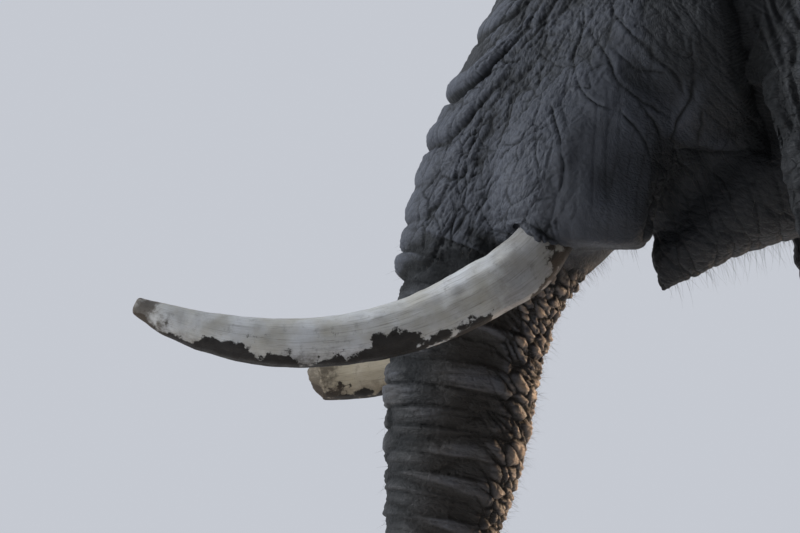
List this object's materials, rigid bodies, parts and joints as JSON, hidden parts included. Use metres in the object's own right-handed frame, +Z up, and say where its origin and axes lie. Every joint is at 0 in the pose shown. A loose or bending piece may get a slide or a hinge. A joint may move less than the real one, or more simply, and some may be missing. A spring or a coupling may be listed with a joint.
{
  "type": "african bush elephant, adult bull",
  "caption": "Life-size still model of a standing African elephant bull with a lowered head, one long tusk and one broken one.",
  "frame": {"origin": "on the floor, under the middle of the whole model's box", "axes": "+Z up, the elephant faces -Y, and its left side is +X"},
  "size_m": [1.6792, 4.9514, 3.1992],
  "materials": {
    "hide": "dry, matt, deeply wrinkled grey skin",
    "ivory": "worn ivory with fine long cracks, mud and dark stains",
    "eye": "wet brown eye",
    "nail": "dull worn horn",
    "tail_hair": "coarse black hair"
  },
  "bodies": {
    "root": {"head": "hide", "lower_jaw": "hide", "trunk_upper": "hide", "trunk_middle": "hide", "trunk_lower": "hide", "trunk_tip": "hide", "neck": "hide", "chest": "hide", "hindquarters": "hide", "foreleg_left_upper": "hide", "foreleg_left_lower": "hide", "foreleg_left_foot": "hide", "hindleg_left_upper": "hide", "hindleg_left_lower": "hide", "hindleg_left_foot": "hide", "ear_left": "hide", "eye_left": "eye", "tusk_left": "ivory", "forefoot_left_nail_1": "nail", "forefoot_left_nail_2": "nail", "forefoot_left_nail_3": "nail", "forefoot_left_nail_4": "nail", "hindfoot_left_nail_1": "nail", "hindfoot_left_nail_2": "nail", "hindfoot_left_nail_3": "nail", "foreleg_right_upper": "hide", "foreleg_right_lower": "hide", "foreleg_right_foot": "hide", "hindleg_right_upper": "hide", "hindleg_right_lower": "hide", "hindleg_right_foot": "hide", "ear_right": "hide", "eye_right": "eye", "tusk_right": "ivory", "forefoot_right_nail_1": "nail", "forefoot_right_nail_2": "nail", "forefoot_right_nail_3": "nail", "forefoot_right_nail_4": "nail", "hindfoot_right_nail_1": "nail", "hindfoot_right_nail_2": "nail", "hindfoot_right_nail_3": "nail", "tail": "hide", "tail_tuft": "tail_hair"}
  },
  "joints": []
}
